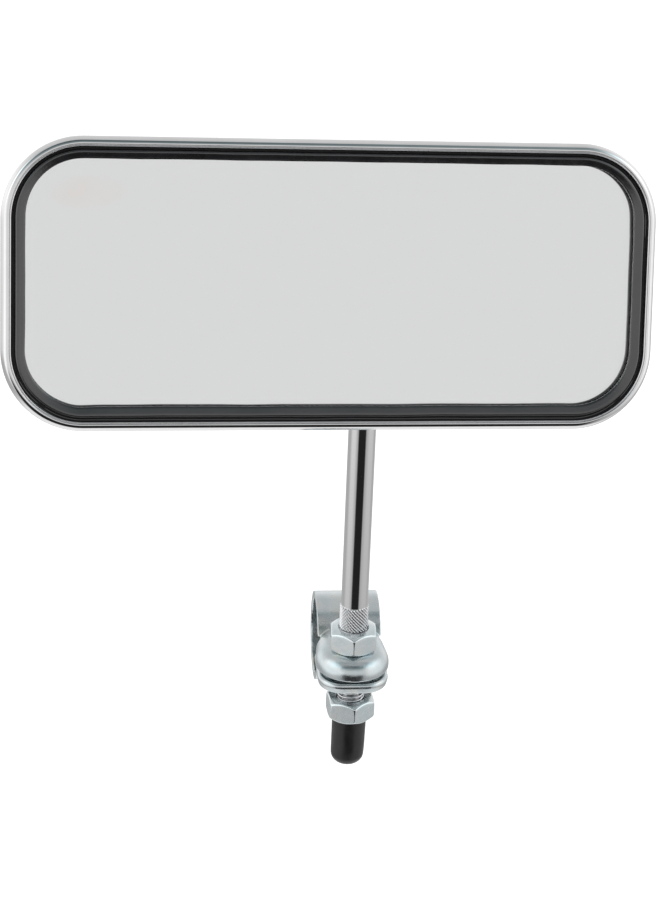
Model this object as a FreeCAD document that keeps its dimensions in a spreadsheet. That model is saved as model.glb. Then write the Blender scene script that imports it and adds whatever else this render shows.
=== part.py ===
import FreeCAD, Part
import Sketcher
import math
import os

# Bicycle mirror: a rectangular mirror head on a ball joint, carried by a bent rod
# that is held in the two ears of a strap clamp.  Millimetres, +Z up, +X along the
# handlebar, origin at the centre of the clamp bore; the mirror looks towards -Y.

os.makedirs("parts", exist_ok=True)
doc = FreeCAD.newDocument("BikeMirror")

# ---------------------------------------------------------------- dimensions
dims = doc.addObject("Spreadsheet::Sheet", "Dims")
DIMENSIONS = (
    # strap clamp
    ("bore_radius", 11.1),
    ("strap_gauge", 2.0),
    ("strap_width", 18.5),
    ("stem_offset", 20.5),
    ("ear_gauge", 2.0),
    ("upper_ear_top", 8.1),
    ("upper_ear_radius", 10.6),
    ("upper_ear_depth", 5.9),
    ("upper_ear_round", 4.8),
    ("lower_ear_top", 1.2),
    ("lower_ear_width", 20.9),
    ("lower_ear_reach", 30.8),
    ("lower_ear_depth", 3.2),
    ("lower_ear_corner", 7.0),
    ("lower_ear_round", 1.2),
    ("lower_ear_draft", 11.0),
    ("nut_relief", 0.15),
    ("neck_taper", 0.45),
    ("ear_hole_radius", 4.05),
    # threaded rod
    ("rod_radius", 3.82),
    ("thread_radius", 4.0),
    ("thread_foot", -28.0),
    ("thread_bevel", 0.8),
    ("rod_bevel", 0.6),
    ("knurl_top", 22.2),
    ("knurl_radius", 4.15),
    ("arm_turn", 27.5),
    ("arm_rise", 20.0),
    ("arm_reach", 33.95),
    ("bend_radius", 15.0),
    ("ball_height", 133.9),
    ("ball_radius", 8.0),
    ("neck_radius", 2.75),
    ("neck_free", 13.5),
    ("neck_socket", 8.0),
    # nuts and cap
    ("nut_flats", 13.0),
    ("nut_crown", 12.3),
    ("nut_bevel_angle", 30.0),
    ("upper_nut_height", 6.5),
    ("upper_nut_turn", -3.0),
    ("lower_nut_top", -8.1),
    ("lower_nut_height", 6.5),
    ("lower_nut_bore", 4.04),
    ("lower_nut_turn", 5.5),
    ("cap_gap", 0.2),
    ("cap_length", 15.7),
    ("cap_radius", 5.0),
    ("cap_round", 3.1),
    ("cap_draft", 0.6),
    # mirror head
    ("head_turn", 5.2),
    ("head_tip", 16.9),
    ("head_roll", 2.3),
    ("head_width", 164.0),
    ("head_tall", 72.1),
    ("head_corner", 20.1),
    ("rim_front", 21.0),
    ("rim_straight", 1.5),
    ("rim_lip", 2.6),
    ("lip_gauge", 1.1),
    ("shell_back", 2.0),
    ("shell_gauge", 1.0),
    ("shell_draft", 12.0),
    ("shell_round", 9.0),
    # ball joint
    ("run_clearance", 0.03),
    ("seat_gauge", 0.97),
    ("dome_gauge", 1.0),
    ("dome_rise", 5.0),
    ("seat_rear_angle", 50.0),
    ("seat_front_angle", 38.0),
    ("seat_slit", 1.5),
    ("cup_radius", 8.6),
    ("cup_front", 11.4),
    ("cup_rim", 5.0),
    ("cup_boss_radius", 3.9),
    ("cup_boss_length", 1.5),
    ("spring_inner", 4.3),
    ("spring_outer", 8.4),
    ("spring_rise", 0.8),
    ("spring_gauge", 0.7),
    ("bridge_width", 18.0),
    ("bridge_gauge", 1.2),
    ("bridge_half", 24.0),
    ("bridge_foot", 12.0),
    ("rivet_radius", 1.5),
    ("rivet_head", 3.0),
    ("rivet_dome", 1.5),
    ("rivet_crown", 1.2),
    ("rivet_tail", 2.5),
    ("rivet_tail_rise", 1.0),
    ("rivet_along", 30.5),
    ("rivet_across", 5.0),
    # glass and rubber
    ("glass_width", 156.2),
    ("glass_tall", 64.3),
    ("glass_corner", 16.4),
    ("glass_gauge", 2.0),
    ("pad_gauge", 1.2),
    ("opening_width", 151.8),
    ("opening_tall", 59.9),
    ("opening_corner", 14.2),
    ("gasket_back", 1.0),
    ("gasket_rear_lip", 2.5),
    ("gasket_lip", 1.4),
    ("gasket_gap", 0.25),
    ("gasket_ease", 1.2),
    ("gasket_round", 0.6),
    ("glass_front", 19.4),
)
for row, (alias, size) in enumerate(DIMENSIONS, start=1):
    cell = "B%d" % row
    dims.set("A%d" % row, alias)
    dims.set(cell, str(size))
    dims.setAlias(cell, alias)
doc.recompute()


def value(expression):
    """Present number of an expression over the sheet."""
    return float(dims.evalExpression(expression))


def over(expression):
    """Expression with its sheet names written in full."""
    words = []
    for word in expression.split():
        known = any(word == alias for alias, size in DIMENSIONS)
        words.append("Dims." + word if known else word)
    return " ".join(words)


# ---------------------------------------------------------------- sketch helpers
def make_body(name):
    body = doc.addObject("PartDesign::Body", name)
    body.Label = name
    return body


def sketch_on(body, role, name, lift="0"):
    """Sketch on one of the body's origin planes, lifted along the plane's normal."""
    sketch = body.newObject("Sketcher::SketchObject", name)
    plane = [item for item in body.Origin.OriginFeatures if item.Role == role][0]
    sketch.AttachmentSupport = [(plane, "")]
    sketch.MapMode = "FlatFace"
    sketch.setExpression("AttachmentOffset.Base.z", over(lift) + " + 0")
    return sketch


def bind(sketch, constraint, expression):
    index = sketch.addConstraint(constraint)
    sketch.setExpression("Constraints[%d]" % index, over(expression))
    return index


def circle(sketch, radius, x="0", y="0"):
    centre = FreeCAD.Vector(value(over(x)), value(over(y)), 0)
    axis = FreeCAD.Vector(0, 0, 1)
    ring = sketch.addGeometry(Part.Circle(centre, axis, value(over(radius))))
    bind(sketch, Sketcher.Constraint("Radius", ring, value(over(radius))), radius)
    if x == "0" and y == "0":
        sketch.addConstraint(Sketcher.Constraint("Coincident", ring, 3, -1, 1))
    else:
        bind(sketch, Sketcher.Constraint("DistanceX", ring, 3, centre.x), x)
        bind(sketch, Sketcher.Constraint("DistanceY", ring, 3, centre.y), y)
    return ring


def polygon(sketch, corners):
    """Closed outline through the corners, each held by its two coordinates."""
    points = [FreeCAD.Vector(value(over(x)), value(over(y)), 0) for x, y in corners]
    count = len(points)
    for i in range(count):
        sketch.addGeometry(Part.LineSegment(points[i], points[(i + 1) % count]))
    for i in range(count):
        after = (i + 1) % count
        sketch.addConstraint(Sketcher.Constraint("Coincident", i, 2, after, 1))
    for i, (x, y) in enumerate(corners):
        bind(sketch, Sketcher.Constraint("DistanceX", i, 1, points[i].x), x)
        bind(sketch, Sketcher.Constraint("DistanceY", i, 1, points[i].y), y)


def rounded_box(sketch, width, tall, corner):
    """Rectangle with round corners, centred on the sketch's origin."""
    half = value(over(width)) / 2
    rise = value(over(tall)) / 2
    round_ = value(over(corner))
    axis = FreeCAD.Vector(0, 0, 1)
    corners = ((1, 1), (-1, 1), (-1, -1), (1, -1))
    for i, (sx, sy) in enumerate(corners):
        centre = FreeCAD.Vector(sx * (half - round_), sy * (rise - round_), 0)
        start = i * math.pi / 2
        arc = Part.ArcOfCircle(Part.Circle(centre, axis, round_), start, start + math.pi / 2)
        sketch.addGeometry(arc)
    for i in range(4):
        after = (i + 1) % 4
        start = sketch.Geometry[i].EndPoint
        end = sketch.Geometry[after].StartPoint
        sketch.addGeometry(Part.LineSegment(start, end))
    for i in range(4):
        after = (i + 1) % 4
        sketch.addConstraint(Sketcher.Constraint("Tangent", i, 2, 4 + i, 1))
        sketch.addConstraint(Sketcher.Constraint("Tangent", 4 + i, 2, after, 1))
    for i in (1, 2, 3):
        sketch.addConstraint(Sketcher.Constraint("Equal", 0, i))
    sketch.addConstraint(Sketcher.Constraint("Horizontal", 4))
    sketch.addConstraint(Sketcher.Constraint("Vertical", 5))
    sketch.addConstraint(Sketcher.Constraint("Symmetric", 0, 3, 2, 3, -1, 1))
    bind(sketch, Sketcher.Constraint("Radius", 0, round_), corner)
    bind(sketch, Sketcher.Constraint("DistanceX", 0, 1, half), "( " + width + " ) / 2")
    bind(sketch, Sketcher.Constraint("DistanceY", 0, 2, rise), "( " + tall + " ) / 2")


def hexagon(sketch, flats):
    """Hexagon with one corner on the sketch's -Y axis."""
    reach = value(over(flats)) / math.sqrt(3)
    rim = circle(sketch, "( " + flats + " ) / sqrt(3)")
    sketch.toggleConstruction(rim)
    points = []
    for i in range(6):
        angle = math.radians(60 * i - 90)
        points.append(FreeCAD.Vector(reach * math.cos(angle), reach * math.sin(angle), 0))
    for i in range(6):
        sketch.addGeometry(Part.LineSegment(points[i], points[(i + 1) % 6]))
    for i in range(6):
        line = 1 + i
        after = 1 + (i + 1) % 6
        sketch.addConstraint(Sketcher.Constraint("Coincident", line, 2, after, 1))
        sketch.addConstraint(Sketcher.Constraint("PointOnObject", line, 1, rim))
    for i in range(2, 7):
        sketch.addConstraint(Sketcher.Constraint("Equal", 1, i))
    sketch.addConstraint(Sketcher.Constraint("PointOnObject", 1, 1, -2))


# ---------------------------------------------------------------- feature helpers
def extrude(body, kind, sketch, length, name, back=False, middle=False, draft=None):
    """Pad or Pocket of a sketch; back turns it against the sketch's normal."""
    feature = body.newObject("PartDesign::" + kind, name)
    feature.Profile = sketch
    feature.Reversed = back
    feature.Midplane = middle
    feature.setExpression("Length", over(length))
    if draft:
        feature.setExpression("TaperAngle", over(draft))
    sketch.Visibility = False
    doc.recompute()
    return feature


def turn(body, kind, sketch, name):
    """Full revolution or groove about the sketch's vertical axis."""
    feature = body.newObject("PartDesign::" + kind, name)
    feature.Profile = sketch
    feature.ReferenceAxis = (sketch, ["V_Axis"])
    feature.Angle = 360
    doc.recompute()
    return feature


def edges_where(shape, wanted):
    """Names of the edges for which wanted(edge) holds."""
    names = []
    for i, edge in enumerate(shape.Edges, start=1):
        if wanted(edge):
            names.append("Edge%d" % i)
    return names


def soften(body, kind, wanted, size, name):
    """Fillet or Chamfer on the chosen edges of the body's present tip."""
    feature = body.newObject("PartDesign::" + kind, name)
    base = body.Tip if body.Tip != feature else feature.BaseFeature
    feature.Base = (base, edges_where(base.Shape, wanted))
    feature.setExpression("Radius" if kind == "Fillet" else "Size", over(size))
    doc.recompute()
    return feature


def near(a, b, slack=0.02):
    return abs(a - b) < slack


def on_level(edge, axis, level):
    """True when the whole edge lies at one level of an axis (0 x, 1 y, 2 z)."""
    box = edge.BoundBox
    low = (box.XMin, box.YMin, box.ZMin)[axis]
    high = (box.XMax, box.YMax, box.ZMax)[axis]
    return near(low, level) and near(high, level)


def place(item, x, y, z, turn_z=0.0, tip_x=0.0, roll_y=0.0):
    spin = FreeCAD.Rotation(FreeCAD.Vector(0, 0, 1), turn_z)
    spin = spin.multiply(FreeCAD.Rotation(FreeCAD.Vector(1, 0, 0), tip_x))
    spin = spin.multiply(FreeCAD.Rotation(FreeCAD.Vector(0, 1, 0), roll_y))
    item.Placement = FreeCAD.Placement(FreeCAD.Vector(x, y, z), spin)


# ---------------------------------------------------------------- datum positions
STEM_Y = -value("Dims.stem_offset")
ARM_TURN = value("Dims.arm_turn")
ARM_RISE = value("Dims.arm_rise")
ARM_REACH = value("Dims.arm_reach")
BALL = FreeCAD.Vector(
    -ARM_REACH * math.sin(math.radians(ARM_TURN)),
    STEM_Y - ARM_REACH * math.cos(math.radians(ARM_TURN)),
    value("Dims.ball_height"),
)


def place_in_head(item):
    """Head parts are drawn about the ball's centre: x right, y back, z up."""
    turn_z = value("Dims.head_turn")
    tip_x = -value("Dims.head_tip")
    place(item, BALL.x, BALL.y, BALL.z, turn_z, tip_x, value("Dims.head_roll"))


# ---------------------------------------------------------------- strap clamp
def round_rim(level, smallest):
    """Picks full circles at one height that are wider than the given radius."""
    def wanted(edge):
        ring = isinstance(edge.Curve, Part.Circle) and edge.Curve.Radius > smallest
        return ring and on_level(edge, 2, level)
    return wanted


def cup_edge(level):
    """Picks the front arc and the two sides of the upper cup at one height."""
    def wanted(edge):
        ahead = edge.BoundBox.YMin < STEM_Y + value("Dims.ear_gauge")
        return on_level(edge, 2, level) and ahead
    return wanted


def ear_outline(sketch, radius, half, rear):
    """Round front about the stem's axis, with two tangent sides that run back to a straight end."""
    size = value(over(radius))
    side = value(over(half))
    end = value(over(rear))
    centre = FreeCAD.Vector(0, STEM_Y, 0)
    run = end - STEM_Y
    lean = math.atan2(run, side) - math.acos(size / math.hypot(side, run))
    front = Part.Circle(centre, FreeCAD.Vector(0, 0, 1), size)
    arc = Part.ArcOfCircle(front, math.pi - lean, 2 * math.pi + lean)
    sketch.addGeometry(arc)
    right = FreeCAD.Vector(side, end, 0)
    left = FreeCAD.Vector(-side, end, 0)
    sketch.addGeometry(Part.LineSegment(arc.EndPoint, right))
    sketch.addGeometry(Part.LineSegment(right, left))
    sketch.addGeometry(Part.LineSegment(left, arc.StartPoint))
    sketch.addConstraint(Sketcher.Constraint("Tangent", 0, 2, 1, 1))
    sketch.addConstraint(Sketcher.Constraint("Coincident", 1, 2, 2, 1))
    sketch.addConstraint(Sketcher.Constraint("Coincident", 2, 2, 3, 1))
    sketch.addConstraint(Sketcher.Constraint("Tangent", 3, 2, 0, 1))
    sketch.addConstraint(Sketcher.Constraint("PointOnObject", 0, 3, -2))
    sketch.addConstraint(Sketcher.Constraint("Horizontal", 2))
    bind(sketch, Sketcher.Constraint("DistanceY", 0, 3, STEM_Y), "- stem_offset")
    bind(sketch, Sketcher.Constraint("Radius", 0, size), radius)
    bind(sketch, Sketcher.Constraint("DistanceY", 2, 1, end), rear)
    bind(sketch, Sketcher.Constraint("DistanceX", 2, 1, side), half)


clamp = make_body("clamp_strap")
cup = sketch_on(clamp, "XY_Plane", "UpperCupSketch", "upper_ear_top")
ear_outline(cup, "upper_ear_radius", "strap_width / 2 - neck_taper", "- bore_radius / 2")
extrude(clamp, "Pad", cup, "upper_ear_depth", "UpperCup", back=True)
hollow = sketch_on(clamp, "XY_Plane", "CupHollowSketch", "upper_ear_top - ear_gauge")
ear_outline(hollow, "upper_ear_radius - ear_gauge", "strap_width / 2 - neck_taper - ear_gauge",
            "- bore_radius / 2 - ear_gauge")
extrude(clamp, "Pocket", hollow, "upper_ear_depth", "CupHollow")
cup_top = value("Dims.upper_ear_top")
soften(clamp, "Fillet", cup_edge(cup_top), "upper_ear_round", "CupRound")
soften(clamp, "Fillet", cup_edge(cup_top - value("Dims.ear_gauge")),
       "upper_ear_round - ear_gauge", "CupInside")

loop = sketch_on(clamp, "YZ_Plane", "LoopSketch")
circle(loop, "bore_radius + strap_gauge")
extrude(clamp, "Pad", loop, "strap_width", "Loop", middle=True)
lower_plate = sketch_on(clamp, "XY_Plane", "LowerPlateSketch", "lower_ear_top")
polygon(lower_plate, (
    ("- lower_ear_width / 2", "- lower_ear_reach"),
    ("lower_ear_width / 2", "- lower_ear_reach"),
    ("lower_ear_width / 2", "- bore_radius - strap_gauge"),
    ("strap_width / 2", "- bore_radius"),
    ("- strap_width / 2", "- bore_radius"),
    ("- lower_ear_width / 2", "- bore_radius - strap_gauge"),
))
extrude(clamp, "Pad", lower_plate, "lower_ear_depth", "LowerPlate", back=True,
        draft="- lower_ear_draft")
lower_hollow = sketch_on(clamp, "XY_Plane", "LowerHollowSketch", "lower_ear_top - ear_gauge")
polygon(lower_hollow, (
    ("- lower_ear_width / 2 + ear_gauge", "- lower_ear_reach + ear_gauge"),
    ("lower_ear_width / 2 - ear_gauge", "- lower_ear_reach + ear_gauge"),
    ("lower_ear_width / 2 - ear_gauge", "- bore_radius - strap_gauge + nut_relief"),
    ("- lower_ear_width / 2 + ear_gauge", "- bore_radius - strap_gauge + nut_relief"),
))
extrude(clamp, "Pocket", lower_hollow, "lower_ear_depth", "LowerHollow")

rim_relief = sketch_on(clamp, "XY_Plane", "RimReliefSketch", "lower_ear_top")
polygon(rim_relief, (
    ("- upper_ear_radius", "- bore_radius - strap_gauge"),
    ("upper_ear_radius", "- bore_radius - strap_gauge"),
    ("upper_ear_radius", "- bore_radius / 2"),
    ("- upper_ear_radius", "- bore_radius / 2"),
))
extrude(clamp, "Pocket", rim_relief, "upper_ear_top - ear_gauge - lower_ear_top", "RimRelief", back=True)

bore = sketch_on(clamp, "YZ_Plane", "BoreSketch")
circle(bore, "bore_radius")
extrude(clamp, "Pocket", bore, "2 * strap_width", "Bore", middle=True)
ear_hole = sketch_on(clamp, "XY_Plane", "EarHoleSketch")
circle(ear_hole, "ear_hole_radius", "0", "- stem_offset")
extrude(clamp, "Pocket", ear_hole, "3 * strap_width", "EarHole", middle=True)


def lower_ear_upright(half, lean=0.02):
    """Picks the two front upright edges of the lower ear, from the given half width inwards."""
    def wanted(edge):
        box = edge.BoundBox
        upright = box.XLength < lean and box.YLength < lean
        widest = max(abs(box.XMin), abs(box.XMax))
        return upright and near(widest, half) and box.YMax < STEM_Y
    return wanted


def lower_front(edge):
    """Outer top edge of the lower ear ahead of the bore."""
    box = edge.BoundBox
    outside = box.YMin < STEM_Y
    sharp = not isinstance(edge.Curve, Part.Circle) or edge.Curve.Radius > 5
    return on_level(edge, 2, value("Dims.lower_ear_top")) and outside and sharp


lower_half = value("Dims.lower_ear_width / 2")
lower_lean = value("Dims.lower_ear_depth * tan( Dims.lower_ear_draft ) + Dims.nut_relief")
soften(clamp, "Fillet", lower_ear_upright(lower_half, lower_lean), "lower_ear_corner",
       "LowerCorners")
soften(clamp, "Fillet", lower_ear_upright(lower_half - value("Dims.ear_gauge")),
       "lower_ear_corner - ear_gauge", "LowerCornersInside")
soften(clamp, "Fillet", lower_front, "lower_ear_round", "LowerRound")

# ---------------------------------------------------------------- nuts and cap
def make_nut(name, height, bore_size):
    """Hexagon nut standing on its own XY plane, both faces chamfered at 30 degrees."""
    nut = make_body(name)
    outline = sketch_on(nut, "XY_Plane", name + "_outline")
    hexagon(outline, "nut_flats")
    extrude(nut, "Pad", outline, height, name + "_block")
    hole = sketch_on(nut, "XY_Plane", name + "_hole")
    circle(hole, bore_size)
    extrude(nut, "Pocket", hole, "3 * ( " + height + " )", name + "_bore", middle=True)
    flat = "nut_crown / 2"
    reach = "( nut_flats - nut_crown / 2 )"
    drop = "( nut_flats - nut_crown ) * tan( nut_bevel_angle )"
    corner = sketch_on(nut, "XZ_Plane", name + "_corner")
    polygon(corner, (
        (flat, height),
        (reach, height + " - " + drop),
        (reach, "2 * ( " + height + " )"),
        (flat, "2 * ( " + height + " )"),
    ))
    turn(nut, "Groove", corner, name + "_top")
    foot = sketch_on(nut, "XZ_Plane", name + "_foot")
    polygon(foot, (
        (flat, "0"),
        (flat, "- ( " + height + " )"),
        (reach, "- ( " + height + " )"),
        (reach, drop),
    ))
    turn(nut, "Groove", foot, name + "_bottom")
    return nut


upper_nut = make_nut("upper_nut", "upper_nut_height", "thread_radius")
place(upper_nut, 0, STEM_Y, value("Dims.upper_ear_top"), value("Dims.upper_nut_turn"))
lower_nut = make_nut("lower_nut", "lower_nut_height", "lower_nut_bore")
lower_nut_foot = value("Dims.lower_nut_top - Dims.lower_nut_height")
place(lower_nut, 0, STEM_Y, lower_nut_foot, value("Dims.lower_nut_turn"))

thread_cap = make_body("thread_cap")
cap_outline = sketch_on(thread_cap, "XY_Plane", "CapSketch")
circle(cap_outline, "cap_radius")
extrude(thread_cap, "Pad", cap_outline, "cap_length", "CapBlock", back=True, draft="- cap_draft")
cap_foot = -value("Dims.cap_length")
soften(thread_cap, "Fillet", round_rim(cap_foot, 3), "cap_round", "CapRound")
cap_top = lower_nut_foot - value("Dims.cap_gap")
cap_bore = sketch_on(thread_cap, "XY_Plane", "CapBoreSketch")
circle(cap_bore, "thread_radius")
extrude(thread_cap, "Pocket", cap_bore,
        "lower_nut_top - lower_nut_height - cap_gap - thread_foot", "CapBore")
place(thread_cap, 0, STEM_Y, cap_top)

# ---------------------------------------------------------------- rod and ball stud
# The rod's own YZ plane holds its bend; the plane is turned about the thread's axis.
stem = make_body("stem_rod")
thread = sketch_on(stem, "XY_Plane", "ThreadSketch", "thread_foot")
circle(thread, "thread_radius")
extrude(stem, "Pad", thread, "knurl_top - thread_foot", "Thread")
knurl = sketch_on(stem, "XY_Plane", "KnurlSketch", "upper_ear_top + upper_nut_height")
circle(knurl, "knurl_radius")
extrude(stem, "Pad", knurl, "knurl_top - upper_ear_top - upper_nut_height", "Knurl")
soften(stem, "Chamfer", round_rim(value("Dims.thread_foot"), 3), "thread_bevel", "ThreadEnd")

half_bend = (90 - ARM_RISE) / 2
tangent = value("Dims.bend_radius") * math.tan(math.radians(half_bend))
arm_length = ARM_REACH / math.cos(math.radians(ARM_RISE))
corner_z = BALL.z - ARM_REACH * math.tan(math.radians(ARM_RISE))
arm_along = FreeCAD.Vector(-math.cos(math.radians(ARM_RISE)), math.sin(math.radians(ARM_RISE)), 0)
corner = FreeCAD.Vector(0, corner_z, 0)
bend_start = corner - FreeCAD.Vector(0, tangent, 0)
bend_end = corner + arm_along * tangent
rod_end = corner + arm_along * (arm_length - value("Dims.neck_free"))

path = sketch_on(stem, "YZ_Plane", "RodPath")
rod_start = FreeCAD.Vector(0, value("Dims.knurl_top"), 0)
bend_centre = bend_start + FreeCAD.Vector(-value("Dims.bend_radius"), 0, 0)
bend_circle = Part.Circle(bend_centre, FreeCAD.Vector(0, 0, 1), value("Dims.bend_radius"))
path.addGeometry(Part.LineSegment(rod_start, bend_start))
path.addGeometry(Part.ArcOfCircle(bend_circle, 0, math.radians(90 - ARM_RISE)))
path.addGeometry(Part.LineSegment(bend_end, rod_end))
path.addConstraint(Sketcher.Constraint("Tangent", 0, 2, 1, 1))
path.addConstraint(Sketcher.Constraint("Tangent", 1, 2, 2, 1))
path.addConstraint(Sketcher.Constraint("Vertical", 0))
path.addConstraint(Sketcher.Constraint("PointOnObject", 0, 1, -2))
bind(path, Sketcher.Constraint("DistanceY", 0, 1, rod_start.y), "knurl_top")
bind(path, Sketcher.Constraint("Radius", 1, value("Dims.bend_radius")), "bend_radius")
path.addConstraint(Sketcher.Constraint("DistanceX", 2, 2, rod_end.x))
path.addConstraint(Sketcher.Constraint("DistanceY", 2, 2, rod_end.y))
rod_section = sketch_on(stem, "XY_Plane", "RodSection", "knurl_top")
circle(rod_section, "rod_radius")
rod = stem.newObject("PartDesign::AdditivePipe", "Rod")
rod.Profile = rod_section
rod.Spine = (path, [])
doc.recompute()
socket = stem.newObject("PartDesign::SubtractiveCylinder", "StudSocket")
socket.setExpression("Radius", over("neck_radius"))
socket.setExpression("Height", over("neck_socket + neck_free"))
inward = FreeCAD.Vector(0, -arm_along.x, -arm_along.y)
socket_mouth = FreeCAD.Vector(0, rod_end.x, rod_end.y) - inward * value("Dims.neck_free")
level = FreeCAD.Rotation(FreeCAD.Vector(0, 0, 1), inward)
socket.Placement = FreeCAD.Placement(socket_mouth, level)
doc.recompute()


def rod_rim(edge):
    """Outer edge of the rod's free end."""
    centre = edge.BoundBox.Center
    far = FreeCAD.Vector(0, rod_end.x, rod_end.y)
    ring = isinstance(edge.Curve, Part.Circle) and edge.Curve.Radius > 3
    return ring and centre.distanceToPoint(far) < 0.1


soften(stem, "Chamfer", rod_rim, "rod_bevel", "RodEnd")
place(stem, 0, STEM_Y, 0, -ARM_TURN)

# The ball stud is drawn along +Z, from the ball's centre back into the rod.
ball = doc.addObject("Part::Sphere", "Ball")
ball.setExpression("Radius", "Dims.ball_radius")
neck = doc.addObject("Part::Cylinder", "Neck")
neck.setExpression("Radius", "Dims.neck_radius")
neck.setExpression("Height", "Dims.neck_free + Dims.neck_socket")
ball_stud = doc.addObject("Part::Fuse", "ball_stud")
ball_stud.Label = "ball_stud"
ball_stud.Base = ball
ball_stud.Tool = neck
place(ball_stud, BALL.x, BALL.y, BALL.z, -ARM_TURN, -90 - ARM_RISE)

# ---------------------------------------------------------------- ball seat
# A split plastic bush round the ball: its rear window passes the neck.
seat_outside = doc.addObject("Part::Sphere", "SeatOutside")
seat_outside.setExpression("Radius", "Dims.ball_radius + Dims.run_clearance + Dims.seat_gauge")
seat_outside.setExpression("Angle1", "Dims.seat_front_angle - 90")
seat_outside.setExpression("Angle2", "90 - Dims.seat_rear_angle")
seat_inside = doc.addObject("Part::Sphere", "SeatInside")
seat_inside.setExpression("Radius", "Dims.ball_radius + Dims.run_clearance")
seat_ring = doc.addObject("Part::Cut", "SeatRing")
seat_ring.Base = seat_outside
seat_ring.Tool = seat_inside
slit = doc.addObject("Part::Box", "SeatSlit")
slit.setExpression("Length", "Dims.seat_slit")
slit.setExpression("Width", "2 * Dims.ball_radius")
slit.setExpression("Height", "4 * Dims.ball_radius")
slit.setExpression("Placement.Base.x", "-Dims.seat_slit / 2")
slit.setExpression("Placement.Base.y", "-2 * Dims.ball_radius")
slit.setExpression("Placement.Base.z", "-2 * Dims.ball_radius")
ball_seat = doc.addObject("Part::Cut", "ball_seat")
ball_seat.Label = "ball_seat"
ball_seat.Base = seat_ring
ball_seat.Tool = slit
place(ball_seat, BALL.x, BALL.y, BALL.z, -ARM_TURN, -90 - ARM_RISE)

# ---------------------------------------------------------------- housing shell
# Sketches on the XZ plane have their normal towards -Y, the mirror's front.
shell = make_body("housing_shell")
band = sketch_on(shell, "XZ_Plane", "BandSketch", "rim_front")
rounded_box(band, "head_width", "head_tall", "head_corner")
extrude(shell, "Pad", band, "rim_straight", "Band", back=True)
back = sketch_on(shell, "XZ_Plane", "BackSketch", "rim_front - rim_straight")
rounded_box(back, "head_width", "head_tall", "head_corner")
extrude(shell, "Pad", back, "rim_front - rim_straight - shell_back", "Back", back=True,
        draft="- shell_draft")
back_level = -value("Dims.shell_back")


def back_edge(edge):
    return on_level(edge, 1, back_level)


cavity = sketch_on(shell, "XZ_Plane", "CavitySketch", "rim_front - lip_gauge")
rounded_box(cavity, "head_width - 2 * shell_gauge", "head_tall - 2 * shell_gauge",
            "head_corner - shell_gauge")
extrude(shell, "Pocket", cavity, "rim_straight - lip_gauge", "Cavity")
deep = sketch_on(shell, "XZ_Plane", "DeepSketch", "rim_front - rim_straight")
rounded_box(deep, "head_width - 2 * shell_gauge", "head_tall - 2 * shell_gauge",
            "head_corner - shell_gauge")
extrude(shell, "Pocket", deep, "rim_front - rim_straight - shell_back - shell_gauge",
        "DeepCavity", draft="- shell_draft")
floor_level = -value("Dims.shell_back + Dims.shell_gauge")


def floor_edge(edge):
    return on_level(edge, 1, floor_level)


soften(shell, "Fillet", floor_edge, "shell_round - shell_gauge", "FloorRound")
soften(shell, "Fillet", back_edge, "shell_round", "BackRound")
opening = sketch_on(shell, "XZ_Plane", "LipOpeningSketch", "rim_front + shell_gauge")
rounded_box(opening, "head_width - 2 * rim_lip", "head_tall - 2 * rim_lip",
            "head_corner - rim_lip")
extrude(shell, "Pocket", opening, "2 * shell_gauge + lip_gauge", "LipOpening")


def lip_edge(edge):
    return on_level(edge, 1, -value("Dims.rim_front"))


soften(shell, "Fillet", lip_edge, "shell_gauge", "RimRound")


def hollow_ball(body, kind, size, low, high, name):
    """Spherical zone about the ball's centre; its axis runs to the front."""
    zone = body.newObject("PartDesign::" + kind, name)
    plane = [item for item in body.Origin.OriginFeatures if item.Role == "XZ_Plane"][0]
    zone.AttachmentSupport = [(plane, "")]
    zone.MapMode = "FlatFace"
    zone.setExpression("Radius", over(size))
    zone.setExpression("Angle1", over(low))
    zone.setExpression("Angle2", over(high))
    doc.recompute()
    return zone


seat_space = "ball_radius + 2 * run_clearance + seat_gauge"
dome = seat_space + " + dome_gauge"
hollow_ball(shell, "AdditiveSphere", dome, "- asin( dome_rise / ( " + dome + " ) )",
            "asin( ( shell_back + shell_gauge ) / ( " + dome + " ) )", "Dome")
hollow_ball(shell, "SubtractiveSphere", seat_space, "-90", "90", "DomeInside")
rivet_spots = (
    ("- rivet_along", "- rivet_across"),
    ("- rivet_along", "rivet_across"),
    ("rivet_along", "- rivet_across"),
    ("rivet_along", "rivet_across"),
)
rivet_holes = sketch_on(shell, "XZ_Plane", "RivetHoleSketch")
for along, across in rivet_spots:
    circle(rivet_holes, "rivet_radius", along, across)
extrude(shell, "Pocket", rivet_holes, "4 * shell_back", "RivetHoles", middle=True)
place_in_head(shell)

# ---------------------------------------------------------------- pressure cup and springs
pressure_cup = make_body("pressure_cup")
cup_disc = sketch_on(pressure_cup, "XZ_Plane", "CupDiscSketch", "cup_rim")
circle(cup_disc, "cup_radius")
extrude(pressure_cup, "Pad", cup_disc, "cup_front - cup_rim", "CupDisc")
cup_boss = sketch_on(pressure_cup, "XZ_Plane", "CupBossSketch", "cup_front")
circle(cup_boss, "cup_boss_radius")
extrude(pressure_cup, "Pad", cup_boss, "cup_boss_length", "CupBoss")
hollow_ball(pressure_cup, "SubtractiveSphere", seat_space, "-90", "90", "CupSeat")
place_in_head(pressure_cup)

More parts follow.
